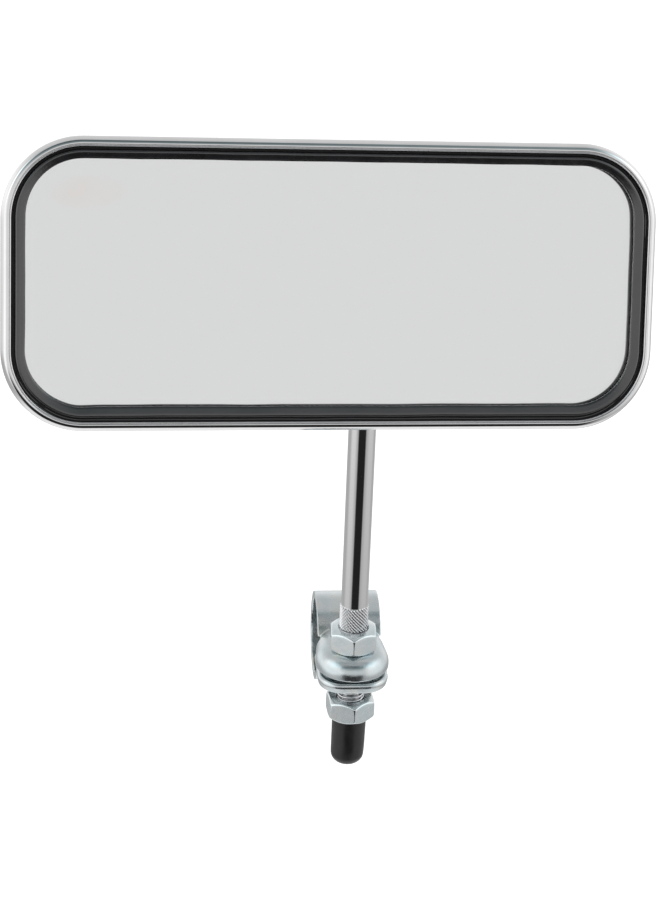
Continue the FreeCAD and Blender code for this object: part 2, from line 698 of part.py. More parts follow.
springs = make_body("disc_springs")
spring_section = sketch_on(springs, "XY_Plane", "SpringSketch")
polygon(spring_section, (
    ("spring_outer", "- cup_front"),
    ("spring_outer", "- cup_front - spring_gauge"),
    ("spring_inner", "- cup_front - spring_gauge - spring_rise"),
    ("spring_inner", "- cup_front - spring_rise"),
))
turn(springs, "Revolution", spring_section, "SpringDisc")
mirror_plane = springs.newObject("PartDesign::Plane", "SpringMiddle")
mirror_plane.AttachmentSupport = [
    ([item for item in springs.Origin.OriginFeatures if item.Role == "XZ_Plane"][0], "")
]
mirror_plane.MapMode = "FlatFace"
mirror_plane.setExpression("AttachmentOffset.Base.z", over("cup_front + spring_gauge + spring_rise"))
doc.recompute()
pair = springs.newObject("PartDesign::Mirrored", "SpringPair")
pair.Originals = [springs.Group[1]]
pair.MirrorPlane = (mirror_plane, [""])
springs.Tip = pair
doc.recompute()
place_in_head(springs)

# ---------------------------------------------------------------- spring bridge and rivets
bridge = make_body("spring_bridge")
floor = "( - shell_back - shell_gauge )"
seat_level = "( - cup_front - 2 * spring_gauge - 2 * spring_rise )"
strap = sketch_on(bridge, "XY_Plane", "BridgeSketch")
polygon(strap, (
    ("- bridge_half - bridge_foot", floor),
    ("- bridge_half - bridge_foot", floor + " - bridge_gauge"),
    ("- bridge_half", floor + " - bridge_gauge"),
    ("- bridge_half", seat_level + " - bridge_gauge"),
    ("bridge_half", seat_level + " - bridge_gauge"),
    ("bridge_half", floor + " - bridge_gauge"),
    ("bridge_half + bridge_foot", floor + " - bridge_gauge"),
    ("bridge_half + bridge_foot", floor),
    ("bridge_half - bridge_gauge", floor),
    ("bridge_half - bridge_gauge", seat_level),
    ("- bridge_half + bridge_gauge", seat_level),
    ("- bridge_half + bridge_gauge", floor),
))
extrude(bridge, "Pad", strap, "bridge_width", "Strap", middle=True)
foot_holes = sketch_on(bridge, "XZ_Plane", "FootHoleSketch")
for along, across in rivet_spots:
    circle(foot_holes, "rivet_radius", along, across)
extrude(bridge, "Pocket", foot_holes, "6 * shell_back", "FootHoles", middle=True)
place_in_head(bridge)

rivets = make_body("bridge_rivets")
inner_level = "shell_back + shell_gauge + bridge_gauge"
shanks = sketch_on(rivets, "XZ_Plane", "ShankSketch", inner_level)
inner_heads = sketch_on(rivets, "XZ_Plane", "InnerHeadSketch", inner_level)
outer_heads = sketch_on(rivets, "XZ_Plane", "OuterHeadSketch", "shell_back")
for along, across in rivet_spots:
    circle(shanks, "rivet_radius", along, across)
    circle(inner_heads, "rivet_tail", along, across)
    circle(outer_heads, "rivet_head", along, across)
extrude(rivets, "Pad", shanks, "shell_gauge + bridge_gauge", "Shanks", back=True)
extrude(rivets, "Pad", inner_heads, "rivet_tail_rise", "InnerHeads")
extrude(rivets, "Pad", outer_heads, "rivet_dome", "OuterHeads", back=True)


def crown_edge(edge):
    return on_level(edge, 1, value("Dims.rivet_dome - Dims.shell_back"))


soften(rivets, "Fillet", crown_edge, "rivet_crown", "RivetCrowns")
place_in_head(rivets)

# ---------------------------------------------------------------- glass, pad and gasket
mirror_glass = make_body("mirror_glass")
glass = sketch_on(mirror_glass, "XZ_Plane", "GlassSketch", "glass_front")
rounded_box(glass, "glass_width", "glass_tall", "glass_corner")
extrude(mirror_glass, "Pad", glass, "glass_gauge", "Glass", back=True)
place_in_head(mirror_glass)

backing_pad = make_body("backing_pad")
board = sketch_on(backing_pad, "XZ_Plane", "BoardSketch", "glass_front - glass_gauge")
rounded_box(board, "glass_width", "glass_tall", "glass_corner")
extrude(backing_pad, "Pad", board, "pad_gauge", "Board", back=True)
place_in_head(backing_pad)

gasket = make_body("rubber_gasket")
body_front = "rim_front - lip_gauge"
body_back = "glass_front - glass_gauge - pad_gauge - gasket_back"
root = sketch_on(gasket, "XZ_Plane", "RootSketch", body_front)
inset = "shell_gauge + gasket_ease"
rounded_box(root, "head_width - 2 * ( " + inset + " )", "head_tall - 2 * ( " + inset + " )",
            "head_corner - " + inset)
extrude(gasket, "Pad", root, "( " + body_front + " ) - ( " + body_back + " )", "Root", back=True)
lip = sketch_on(gasket, "XZ_Plane", "LipSketch", body_front)
lip_inset = "rim_lip + gasket_gap"
rounded_box(lip, "head_width - 2 * ( " + lip_inset + " )", "head_tall - 2 * ( " + lip_inset + " )",
            "head_corner - " + lip_inset)
extrude(gasket, "Pad", lip, "glass_front + gasket_lip - ( " + body_front + " )", "Lip")
window = sketch_on(gasket, "XZ_Plane", "WindowSketch", "glass_front + 2 * gasket_lip")
rounded_box(window, "opening_width", "opening_tall", "opening_corner")
extrude(gasket, "Pocket", window, "2 * gasket_lip", "Window")
channel = sketch_on(gasket, "XZ_Plane", "ChannelSketch", "glass_front")
rounded_box(channel, "glass_width", "glass_tall", "glass_corner")
extrude(gasket, "Pocket", channel, "glass_gauge + pad_gauge", "Channel")
rear = sketch_on(gasket, "XZ_Plane", "RearSketch", "glass_front - glass_gauge - pad_gauge")
rounded_box(rear, "glass_width - 2 * gasket_rear_lip", "glass_tall - 2 * gasket_rear_lip",
            "glass_corner - gasket_rear_lip")
extrude(gasket, "Pocket", rear, "2 * gasket_back", "RearWindow")


def lip_front(edge):
    return on_level(edge, 1, -value("Dims.glass_front + Dims.gasket_lip"))


soften(gasket, "Fillet", lip_front, "gasket_round", "LipRound")
place_in_head(gasket)

# ---------------------------------------------------------------- check and write
doc.recompute()
for item in doc.Objects:
    for trouble in ("Invalid", "Error"):
        if trouble in item.State:
            raise RuntimeError(item.Label + " is in state " + trouble)

SUBPARTS = (
    clamp, upper_nut, lower_nut, thread_cap, stem, ball_stud, ball_seat,
    shell, pressure_cup, springs, bridge, rivets,
    mirror_glass, backing_pad, gasket,
)
for item in SUBPARTS:
    if item.Shape.isNull() or not item.Shape.isValid():
        raise RuntimeError(item.Label + " has no valid shape")
    item.Shape.exportStep("parts/" + item.Label + ".step")
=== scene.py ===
import math

import bpy
import bmesh
from mathutils import Matrix, Vector, noise


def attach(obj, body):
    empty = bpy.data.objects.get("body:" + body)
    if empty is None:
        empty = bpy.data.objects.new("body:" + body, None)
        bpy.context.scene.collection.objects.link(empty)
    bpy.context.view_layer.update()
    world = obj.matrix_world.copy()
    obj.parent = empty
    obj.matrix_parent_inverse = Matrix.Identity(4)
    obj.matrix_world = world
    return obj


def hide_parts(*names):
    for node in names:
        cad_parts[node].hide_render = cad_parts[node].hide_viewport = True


# Bicycle mirror: chromed head on a ball joint, bent rod, zinc plated strap clamp.
# Metres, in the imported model's frame: +X along the handlebar, the mirror looks to -Y.

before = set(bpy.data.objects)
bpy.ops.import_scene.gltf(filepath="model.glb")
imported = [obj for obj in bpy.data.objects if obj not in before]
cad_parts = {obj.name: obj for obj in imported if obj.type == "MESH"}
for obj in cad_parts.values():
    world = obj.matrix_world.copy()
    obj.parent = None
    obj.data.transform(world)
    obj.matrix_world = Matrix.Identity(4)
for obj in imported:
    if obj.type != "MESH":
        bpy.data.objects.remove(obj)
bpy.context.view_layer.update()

# Lengths below are millimetres and become metres through MM.
MM = 0.001
STEM = Vector((0.0, -20.5, 0.0))             # foot of the rod's axis
BALL_HEIGHT = 133.9
BALL = Vector((-15.6764, -50.6140, BALL_HEIGHT))   # centre of the ball joint
HEAD_TURN = math.radians(5.2)
HEAD_TIP = math.radians(-16.9)
HEAD_ROLL = math.radians(2.3)
ARM_TURN = math.radians(27.5)                # the rod's arm, off the straight ahead
ARM_RISE = math.radians(20.0)                # and above the level
ROD = 3.82
KNURL_TOP = 22.2
GLASS_FRONT = -19.40
GLASS_BACK = -17.46
WARM_REFLECTION_SPOT = Vector((-60.9, GLASS_BACK, 22.3))   # centre of the painted warm reflection, in the head's frame

HEAD = (
    Matrix.Translation(BALL)
    @ Matrix.Rotation(HEAD_TURN, 4, "Z")
    @ Matrix.Rotation(HEAD_TIP, 4, "X")
    @ Matrix.Rotation(HEAD_ROLL, 4, "Y")
)


# ------------------------------------------------------------------ mesh helpers
def to_object(name, points, faces, body, smooth=True, place=None):
    """Mesh object from millimetre points; place moves them into the row's frame."""
    mesh = bpy.data.meshes.new(name)
    moved = []
    for point in points:
        spot = Vector(point)
        if place is not None:
            spot = place @ spot
        moved.append(spot * MM)
    mesh.from_pydata([tuple(spot) for spot in moved], [], faces)
    mesh.validate()
    bm = bmesh.new()
    bm.from_mesh(mesh)
    bmesh.ops.recalc_face_normals(bm, faces=bm.faces)
    bm.to_mesh(mesh)
    bm.free()
    for polygon in mesh.polygons:
        polygon.use_smooth = smooth
    item = bpy.data.objects.new(name, mesh)
    bpy.context.scene.collection.objects.link(item)
    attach(item, body)
    return item


def loft(rings, closed_path=False, cap_first=False, cap_last=False):
    """Quads between closed rings of equal length, with optional end caps."""
    count = len(rings[0])
    points = [point for ring in rings for point in ring]
    faces = []
    steps = len(rings) if closed_path else len(rings) - 1
    for i in range(steps):
        a = i * count
        b = ((i + 1) % len(rings)) * count
        for j in range(count):
            k = (j + 1) % count
            faces.append((a + j, a + k, b + k, b + j))
    if cap_first:
        faces.append(tuple(range(count)))
    if cap_last:
        faces.append(tuple(range(len(points) - count, len(points)))[::-1])
    return points, faces


def ring_about(radius, z, count):
    """Level circle about the Z axis."""
    out = []
    for j in range(count):
        angle = 2 * math.pi * j / count
        out.append((radius * math.cos(angle), radius * math.sin(angle), z))
    return out


def sharp(item, angle):
    """Smooth shading that keeps edges sharper than the angle."""
    mesh = item.data
    bm = bmesh.new()
    bm.from_mesh(mesh)
    limit = math.radians(angle)
    for edge in bm.edges:
        if len(edge.link_faces) == 2 and edge.calc_face_angle(0.0) > limit:
            edge.smooth = False
    bm.to_mesh(mesh)
    bm.free()


# ------------------------------------------------------------------ material helpers
class Mat:
    """Short-hand for a node material around one Principled shader."""

    def __init__(self, name):
        self.mat = bpy.data.materials.new(name)
        self.mat.use_nodes = True
        self.tree = self.mat.node_tree
        self.tree.nodes.clear()
        self.out = self.node("ShaderNodeOutputMaterial")
        self.bsdf = self.node("ShaderNodeBsdfPrincipled")
        self.link(self.bsdf.outputs[0], self.out.inputs["Surface"])
        self.coords = self.node("ShaderNodeTexCoord").outputs["Object"]

    def node(self, kind, **values):
        made = self.tree.nodes.new(kind)
        for key, value in values.items():
            setattr(made, key, value)
        return made

    def link(self, a, b):
        self.tree.links.new(a, b)

    def set(self, **values):
        for key, value in values.items():
            self.bsdf.inputs[key.replace("_", " ")].default_value = value

    def noise(self, scale, detail=2.0, rough=0.5, stretch=None):
        made = self.node("ShaderNodeTexNoise")
        made.inputs["Scale"].default_value = scale
        made.inputs["Detail"].default_value = detail
        made.inputs["Roughness"].default_value = rough
        source = self.coords
        if stretch:
            mapping = self.node("ShaderNodeMapping")
            mapping.inputs["Scale"].default_value = stretch
            self.link(source, mapping.inputs["Vector"])
            source = mapping.outputs[0]
        self.link(source, made.inputs["Vector"])
        return made.outputs["Fac"]

    def ramp(self, source, stops):
        made = self.node("ShaderNodeValToRGB")
        elements = made.color_ramp.elements
        while len(elements) < len(stops):
            elements.new(0.5)
        for element, (spot, colour) in zip(elements, stops):
            element.position = spot
            element.color = (colour[0], colour[1], colour[2], 1.0)
        self.link(source, made.inputs["Fac"])
        return made.outputs["Color"]

    def span(self, source, low, high, from_low=0.0, from_high=1.0):
        made = self.node("ShaderNodeMapRange")
        made.inputs["From Min"].default_value = from_low
        made.inputs["From Max"].default_value = from_high
        made.inputs["To Min"].default_value = low
        made.inputs["To Max"].default_value = high
        self.link(source, made.inputs["Value"])
        return made.outputs["Result"]

    def bump(self, source, strength, distance, before=None):
        made = self.node("ShaderNodeBump")
        made.inputs["Strength"].default_value = strength
        made.inputs["Distance"].default_value = distance
        self.link(source, made.inputs["Height"])
        if before is not None:
            self.link(before, made.inputs["Normal"])
        return made.outputs["Normal"]

    def times(self, a, b):
        made = self.node("ShaderNodeMath", operation="MULTIPLY")
        self.link(a, made.inputs[0])
        self.link(b, made.inputs[1])
        return made.outputs[0]

    def length(self, source):
        made = self.node("ShaderNodeVectorMath", operation="LENGTH")
        self.link(source, made.inputs[0])
        return made.outputs["Value"]

    def to(self, source, socket):
        self.link(source, self.bsdf.inputs[socket])


def grey(level, warm):
    """Grey that leans to red by the share warm."""
    return (level * (1 + warm), level, level * (1 - warm))


def make_chrome():
    m = Mat("chrome")
    m.set(Metallic=1.0)
    tone = m.noise(120.0, 3.0, 0.6)
    m.to(m.ramp(tone, ((0.3, (0.70, 0.695, 0.70)), (0.7, (0.75, 0.745, 0.75)))), "Base Color")
    m.to(m.span(m.noise(260.0, 4.0, 0.7), 0.06, 0.13, 0.35, 0.7), "Roughness")
    m.to(m.bump(m.noise(1500.0, 2.0), 0.03, 0.0001), "Normal")
    return m.mat


GROOVE_SHADE_RADII = (4.06, 3.72)   # painted shade: none outside the first radius, full inside the second


def make_rod_chrome():
    """Chrome with painted shade: a dark base colour in the knurl's and the thread's grooves."""
    m = Mat("rod_chrome")
    m.set(Metallic=1.0)
    split = m.node("ShaderNodeSeparateXYZ")
    m.link(m.coords, split.inputs[0])
    flat = m.node("ShaderNodeCombineXYZ")
    shifted = m.node("ShaderNodeMath", operation="SUBTRACT")
    shifted.inputs[1].default_value = STEM.y * MM
    m.link(split.outputs["X"], flat.inputs["X"])
    m.link(split.outputs["Y"], shifted.inputs[0])
    m.link(shifted.outputs[0], flat.inputs["Y"])
    out = m.length(flat.outputs[0])
    low = m.span(split.outputs["Z"], 1.0, 0.0, (KNURL_TOP - 0.3) * MM, KNURL_TOP * MM)
    groove = m.span(out, 0.0, 1.0, GROOVE_SHADE_RADII[0] * MM, GROOVE_SHADE_RADII[1] * MM)
    patches = m.span(m.noise(900.0, 3.0, 0.6), 0.55, 1.0, 0.35, 0.65)
    # painted shade: dark base colour in the grooves below the knurl's top, in noisy patches
    painted_groove_shade = m.times(m.times(low, groove), patches)
    m.to(m.ramp(painted_groove_shade, ((0.0, (0.72, 0.715, 0.72)), (0.35, (0.66, 0.66, 0.67)),
                       (0.95, (0.11, 0.115, 0.125)))), "Base Color")
    m.to(m.span(m.noise(260.0, 4.0, 0.7), 0.05, 0.12, 0.35, 0.7), "Roughness")
    m.to(m.bump(m.noise(1500.0, 2.0), 0.03, 0.0001), "Normal")
    return m.mat


ZINC_TONES = ((0.3, (0.54, 0.61, 0.635)), (0.52, (0.61, 0.655, 0.67)), (0.72, (0.65, 0.655, 0.62)))


def make_zinc(name, level):
    """Passivated zinc plating: bluish, with yellowish patches; level is its brightness."""
    m = Mat(name)
    m.set(Metallic=1.0)
    tone = m.noise(170.0, 3.0, 0.55)
    stops = [(spot, tuple(level * part for part in colour)) for spot, colour in ZINC_TONES]
    m.to(m.ramp(tone, stops), "Base Color")
    m.to(m.span(m.noise(420.0, 4.0, 0.6), 0.19, 0.29, 0.3, 0.7), "Roughness")
    peel = m.bump(m.noise(700.0, 2.0), 0.12, 0.0002)
    m.to(m.bump(m.noise(2600.0, 2.0), 0.10, 0.0001, peel), "Normal")
    return m.mat


def make_vinyl():
    m = Mat("vinyl")
    tone = m.noise(300.0, 3.0)
    m.to(m.ramp(tone, ((0.3, (0.0065, 0.0055, 0.0065)), (0.7, (0.013, 0.0115, 0.013)))),
         "Base Color")
    m.to(m.span(m.noise(500.0, 3.0), 0.28, 0.42, 0.3, 0.7), "Roughness")
    m.to(m.bump(m.noise(900.0, 3.0), 0.15, 0.0002), "Normal")
    return m.mat


def make_rubber():
    m = Mat("rubber")
    tone = m.noise(90.0, 4.0, 0.6)
    m.to(m.ramp(tone, ((0.3, (0.010, 0.009, 0.010)), (0.7, (0.017, 0.016, 0.018)))), "Base Color")
    m.set(IOR=1.9)
    m.to(m.span(m.noise(600.0, 3.0), 0.15, 0.24, 0.3, 0.7), "Roughness")
    m.to(m.bump(m.noise(1800.0, 3.0), 0.07, 0.0002), "Normal")
    return m.mat


def make_mirror():
    """Silvering with a painted warm reflection in its upper left corner."""
    m = Mat("silvered_glass")
    m.set(Metallic=1.0, Roughness=0.0)
    away = m.node("ShaderNodeVectorMath", operation="SUBTRACT")
    away.inputs[1].default_value = (HEAD @ WARM_REFLECTION_SPOT) * MM
    m.link(m.coords, away.inputs[0])
    squash = m.node("ShaderNodeVectorMath", operation="MULTIPLY")
    squash.inputs[1].default_value = (110.0, 110.0, 260.0)
    m.link(away.outputs[0], squash.inputs[0])
    near = m.span(m.length(squash.outputs[0]), 1.0, 0.0, 0.2, 1.1)
    # painted reflection: warm tint in the silvering's base colour around the spot
    painted_warm_reflection = m.times(near, m.span(m.noise(160.0, 3.0), 0.4, 1.0, 0.35, 0.6))
    m.to(m.ramp(painted_warm_reflection, ((0.0, (0.802, 0.803, 0.806)), (1.0, (0.815, 0.765, 0.735)))),
         "Base Color")
    m.to(m.span(m.noise(30.0, 3.0), 0.0, 0.02, 0.45, 0.75), "Roughness")
    return m.mat


def make_pane():
    m = Mat("pane")
    m.set(Transmission_Weight=1.0, IOR=1.52, Base_Color=(0.985, 0.992, 0.988, 1.0))
    m.to(m.span(m.noise(26.0, 3.0), 0.0, 0.006, 0.45, 0.8), "Roughness")
    return m.mat


def make_plain_steel():
    m = Mat("plain_steel")
    m.set(Metallic=1.0)
    m.to(m.ramp(m.noise(200.0, 4.0), ((0.3, grey(0.30, 0.03)), (0.7, grey(0.42, 0.02)))),
         "Base Color")
    m.to(m.span(m.noise(350.0, 4.0), 0.28, 0.45, 0.3, 0.7), "Roughness")
    m.to(m.bump(m.noise(900.0, 3.0), 0.15, 0.0002), "Normal")
    return m.mat


def make_nylon():
    m = Mat("nylon")
    m.to(m.ramp(m.noise(120.0, 3.0), ((0.3, (0.66, 0.63, 0.55)), (0.7, (0.74, 0.71, 0.63)))),
         "Base Color")
    m.set(Subsurface_Weight=0.1, Subsurface_Scale=0.001)
    m.to(m.span(m.noise(500.0, 3.0), 0.35, 0.5, 0.3, 0.7), "Roughness")
    m.to(m.bump(m.noise(1500.0, 2.0), 0.1, 0.0001), "Normal")
    return m.mat


def make_board():
    m = Mat("grey_board")
    m.to(m.ramp(m.noise(900.0, 5.0, 0.7), ((0.3, (0.20, 0.19, 0.17)), (0.7, (0.32, 0.30, 0.27)))),
         "Base Color")
    m.set(Roughness=0.9)
    m.to(m.bump(m.noise(2500.0, 3.0), 0.3, 0.0002), "Normal")
    return m.mat


MATERIALS = {
    "chrome": make_chrome(),
    "rod_chrome": make_rod_chrome(),
    "zinc": make_zinc("zinc", 0.93),
    "nut_zinc": make_zinc("nut_zinc", 1.17),
    "vinyl": make_vinyl(),
    "rubber": make_rubber(),
    "mirror": make_mirror(),
    "pane": make_pane(),
    "plain_steel": make_plain_steel(),
    "nylon": make_nylon(),
    "board": make_board(),
}


def paint(item, material):
    item.data.materials.clear()
    item.data.materials.append(MATERIALS[material])


NODE_MATERIALS = {
    "clamp_strap": "zinc", "ball_stud": "chrome", "ball_seat": "nylon",
    "pressure_cup": "plain_steel", "disc_springs": "plain_steel",
    "spring_bridge": "plain_steel", "bridge_rivets": "zinc", "backing_pad": "board",
}
for node_name, material in NODE_MATERIALS.items():
    paint(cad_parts[node_name], material)


def soften(item, kind, name, **values):
    """Adds one modifier to an object."""
    modifier = item.modifiers.new(name, kind)
    for key, value in values.items():
        setattr(modifier, key, value)
    return modifier


def finish_piece(item, material, node, angle=None):
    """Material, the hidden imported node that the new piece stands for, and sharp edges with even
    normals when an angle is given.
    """
    paint(item, material)
    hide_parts(node)
    if angle:
        sharp(item, angle)
        soften(item, "WEIGHTED_NORMAL", "even_faces", keep_sharp=True)


# ------------------------------------------------------------------ clamp
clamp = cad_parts["clamp_strap"]
soften(clamp, "REMESH", "even_mesh", mode="VOXEL", voxel_size=0.00022, use_smooth_shade=True)
soften(clamp, "SMOOTH", "soft_edges", factor=0.5, iterations=7)

# ------------------------------------------------------------------ head outlines
HALF_WIDE = 82.0
HALF_TALL = 36.05
HEAD_CORNER = 20.1
CORNER_STEPS = 26
LONG_STEPS = 44
SHORT_STEPS = 18


def outline(half_wide, half_tall, corner):
    """Rounded rectangle as (x, z, outward x, outward z), counter-clockwise."""
    flat_steps = (LONG_STEPS, SHORT_STEPS, LONG_STEPS, SHORT_STEPS)
    arcs = []
    for side_x, side_z, start in ((1, 1, 0), (-1, 1, 90), (-1, -1, 180), (1, -1, 270)):
        arc = []
        for i in range(CORNER_STEPS + 1):
            angle = math.radians(start + 90 * i / CORNER_STEPS)
            cos, sin = math.cos(angle), math.sin(angle)
            x = side_x * (half_wide - corner) + corner * cos
            z = side_z * (half_tall - corner) + corner * sin
            arc.append((x, z, cos, sin))
        arcs.append(arc)
    points = []
    for arc, after, steps in zip(arcs, arcs[1:] + arcs[:1], flat_steps):
        points.extend(arc)
        last_x, last_z, out_x, out_z = arc[-1]
        for j in range(1, steps):
            mix = j / steps
            points.append((last_x * (1 - mix) + after[0][0] * mix,
                           last_z * (1 - mix) + after[0][1] * mix, out_x, out_z))
    return points


def plain_ring(half_wide, half_tall, corner, depth):
    """Rounded rectangle as points at one depth."""
    return [(x, depth, z) for x, z, out_x, out_z in outline(half_wide, half_tall, corner)]


def head_ring(inset, depth):
    """Outline of the head pulled in by inset, as points at one depth."""
    return plain_ring(HALF_WIDE - inset, HALF_TALL - inset, HEAD_CORNER - inset, depth)


def arc_steps(centre_u, centre_y, radius, start, end, steps):
    """(inset, depth) pairs on an arc; 0 degrees points outwards, 90 to the back."""
    out = []
    for i in range(steps + 1):
        angle = math.radians(start + (end - start) * i / steps)
        out.append((centre_u - radius * math.cos(angle), centre_y + radius * math.sin(angle)))
    return out


# ------------------------------------------------------------------ housing shell
DRAFT = math.radians(12.0)    # of the side wall
BAND_BACK = -18.3             # where the rolled rim meets the side wall
WIDEST = 0.11                 # inset of the wall there
GAUGE = 1.0                   # sheet thickness
SHELL_BACK = -2.0
BACK_ROUND = 9.0
DOME_OUT = 10.03
DOME_IN = 9.03
DOME_TOP = 5.0                # the dome is cut off here, which is the neck's mouth
DOME_STEPS = 14
MOUTH_OFFSET = 11.0           # inset of the outline that the dome's circles are spread by
MOUTH_FILLET = (0.5, 0.45)    # across and up, where the dome leaves the floor


def back_round(start_inset, floor, radius):
    """Arc between the drafted wall and the flat floor, wall end first."""
    centre_y = floor - radius
    centre_u = start_inset + radius / math.cos(DRAFT) + (centre_y - BAND_BACK) * math.tan(DRAFT)
    return arc_steps(centre_u, centre_y, radius, -math.degrees(DRAFT), 90.0, 12)


# Rolled rim as (inset, depth): bead, one groove, turned-in lip, then back along the inside.
RIM = (
    (0.11, -18.30), (0.10, -18.50), (0.11, -18.72), (0.15, -18.94), (0.23, -19.16),
    (0.34, -19.42), (0.47, -19.68), (0.60, -19.95), (0.72, -20.18), (0.83, -20.37),
    (0.93, -20.51), (1.04, -20.61), (1.18, -20.68), (1.34, -20.74), (1.50, -20.79),
    (1.66, -20.83), (1.78, -20.845), (1.88, -20.845), (1.96, -20.83), (2.02, -20.76),
    (2.07, -20.58), (2.12, -20.42), (2.18, -20.36), (2.24, -20.42), (2.29, -20.60),
    (2.34, -20.76), (2.40, -20.83), (2.47, -20.83), (2.54, -20.75), (2.59, -20.60),
    (2.60, -20.35), (2.60, -20.05),
    (2.57, -19.94), (2.50, -19.90), (2.10, -19.88), (1.75, -19.75), (1.45, -19.40),
    (1.20, -18.95), (1.05, -18.60), (1.00, -18.30),
)
floor_level = SHELL_BACK - GAUGE
inner_wall = back_round(GAUGE, floor_level, BACK_ROUND - GAUGE)
outer_wall = back_round(WIDEST, SHELL_BACK, BACK_ROUND)


def circle_like(radius, depth):
    """Circle whose points follow the polar angles of the head's outline."""
    shape = outline(HALF_WIDE - MOUTH_OFFSET, HALF_TALL - MOUTH_OFFSET, HEAD_CORNER - MOUTH_OFFSET)
    ring = []
    for x, z, out_x, out_z in shape:
        angle = math.atan2(z, x)
        ring.append((radius * math.cos(angle), depth, radius * math.sin(angle)))
    return ring


def between(ring_a, ring_b, mix):
    return [tuple(a[i] * (1 - mix) + b[i] * mix for i in range(3)) for a, b in zip(ring_a, ring_b)]


def wall_ring(start_inset, wall, step):
    """Outline on the drafted wall, a share of the way from the rim to the back's round."""
    inset, depth = wall[0]
    return head_ring(start_inset + (inset - start_inset) * step,
                     BAND_BACK + (depth - BAND_BACK) * step)


def floor_mouth(radius, level):
    """Circle on the flat back where the dome's fillet starts."""
    return circle_like(math.sqrt(radius ** 2 - level ** 2) + MOUTH_FILLET[0], level)


def dome_rings(radius, level, lift=0.0):
    """Circles up the dome from its fillet to its cut-off top; lift lowers the last one."""
    low = math.asin((level + MOUTH_FILLET[1]) / radius)
    high = math.asin(DOME_TOP / radius)
    rings = []
    for i in range(DOME_STEPS + 1):
        angle = low + (high - low) * i / DOME_STEPS
        drop = lift if i == DOME_STEPS else 0.0
        rings.append(circle_like(radius * math.cos(angle), radius * math.sin(angle) - drop))
    return rings


def dome_edge(radius, change):
    """Circle on the flat edge of the dome's cut-off top."""
    return circle_like(radius * math.cos(math.asin(DOME_TOP / radius)) + change, DOME_TOP)


inner_edge = head_ring(*inner_wall[-1])
inner_mouth = floor_mouth(DOME_IN, floor_level)
outer_edge = head_ring(*outer_wall[-1])
outer_mouth = floor_mouth(DOME_OUT, SHELL_BACK)
shell_rings = [head_ring(inset, depth) for inset, depth in RIM]
shell_rings += [wall_ring(GAUGE, inner_wall, step) for step in (0.35, 0.7)]
shell_rings += [head_ring(inset, depth) for inset, depth in inner_wall]
shell_rings += [between(inner_edge, inner_mouth, mix) for mix in (0.3, 0.6, 0.85)]
shell_rings.append(inner_mouth)
shell_rings += dome_rings(DOME_IN, floor_level)
shell_rings += [dome_edge(DOME_IN, 0.1), dome_edge(DOME_OUT, -0.12)]
shell_rings += dome_rings(DOME_OUT, SHELL_BACK, 0.05)[::-1]
shell_rings.append(outer_mouth)
shell_rings += [between(outer_mouth, outer_edge, mix) for mix in (0.15, 0.4, 0.7)]
shell_rings += [head_ring(inset, depth) for inset, depth in reversed(outer_wall)]
shell_rings += [wall_ring(WIDEST, outer_wall, step) for step in (0.7, 0.35)]
points, faces = loft(shell_rings, closed_path=True)
shell = to_object("shell_skin", points, faces, "head", place=HEAD)
finish_piece(shell, "chrome", "housing_shell", 50.0)

# ------------------------------------------------------------------ rubber gasket
GASKET_OUTLINE = (79.4, 33.45, 17.5)      # half width, half height, corner radius
WINDOW_OUTLINE = (76.0, 30.1, 14.2)
WINDOW_LIFT = 0.42                        # the window stands higher than the head
GLASS_WIDE = 78.1
GLASS_TALL = 32.15
GLASS_CORNER = 16.4
# Spots where the moulding is out of line: x, z, reach, size.
OUTER_FLAWS = ((71.5, -26.5, 3.2, 0.75), (-70.5, -27.0, 6.0, 0.35))
WINDOW_FLAWS = ((-70.0, -22.5, 3.0, 0.30), (-63.0, -28.0, 5.0, -0.25), (75.5, 17.0, 4.0, 0.18))


def wave(x, z, seed, size):
    """Slow wander of the moulded rubber, in millimetres."""
    return size * noise.noise(Vector((x * 0.09 + seed, z * 0.09, seed * 1.7)))


def flaw(x, z, centre_x, centre_z, reach, size):
    """Bulge that fades with the distance from its centre."""
    away = math.hypot(x - centre_x, z - centre_z) / reach
    return size * math.exp(-away * away * 2.0)


# Lip as (share of the way from its outer edge to the window, depth).
LIP = (
    (0.000, -19.90), (0.015, -19.60), (0.050, -19.35), (0.110, -19.25), (0.170, -19.35),
    (0.215, -19.75), (0.255, -20.25), (0.300, -20.55), (0.355, -20.69), (0.415, -20.745),
    (0.470, -20.745), (0.530, -20.70), (0.610, -20.625), (0.700, -20.54), (0.790, -20.455),
    (0.870, -20.38), (0.965, -20.36), (0.990, -20.28), (1.000, -20.05), (0.994, -19.60),
    (0.985, -19.42),
)
EDGE_DROP = 0.09    # how much deeper the window's edge sits at the sides and below
outer_shape = outline(*GASKET_OUTLINE)
window_shape = outline(*WINDOW_OUTLINE)
gasket_rings = []
for share, depth in LIP:
    ring = []
    for (ax, az, nx, nz), (bx, bz, mx, mz) in zip(outer_shape, window_shape):
        bz += WINDOW_LIFT
        pull = wave(ax, az, 3.0, 0.10) + sum(flaw(ax, az, *spot) for spot in OUTER_FLAWS)
        push = wave(bx, bz, 9.0, 0.13) + sum(flaw(bx, bz, *spot) for spot in WINDOW_FLAWS)
        ax -= pull * nx
        az -= pull * nz
        bx -= push * mx
        bz -= push * mz
        x = ax * (1 - share) + bx * share
        z = az * (1 - share) + bz * share
        sag = wave(x, z, 17.0, 0.05) if 0.0 < share < 1.0 else 0.0
        if 0.9 < share < 1.0:
            sag += EDGE_DROP * (1.0 - max(nz, 0.0))
        ring.append((x, depth + sag, z))
    gasket_rings.append(ring)




def glass_ring(grow, depth):
    """Outline of the glass, grown or shrunk, at one depth."""
    return plain_ring(GLASS_WIDE + grow, GLASS_TALL + grow, GLASS_CORNER + grow, depth)


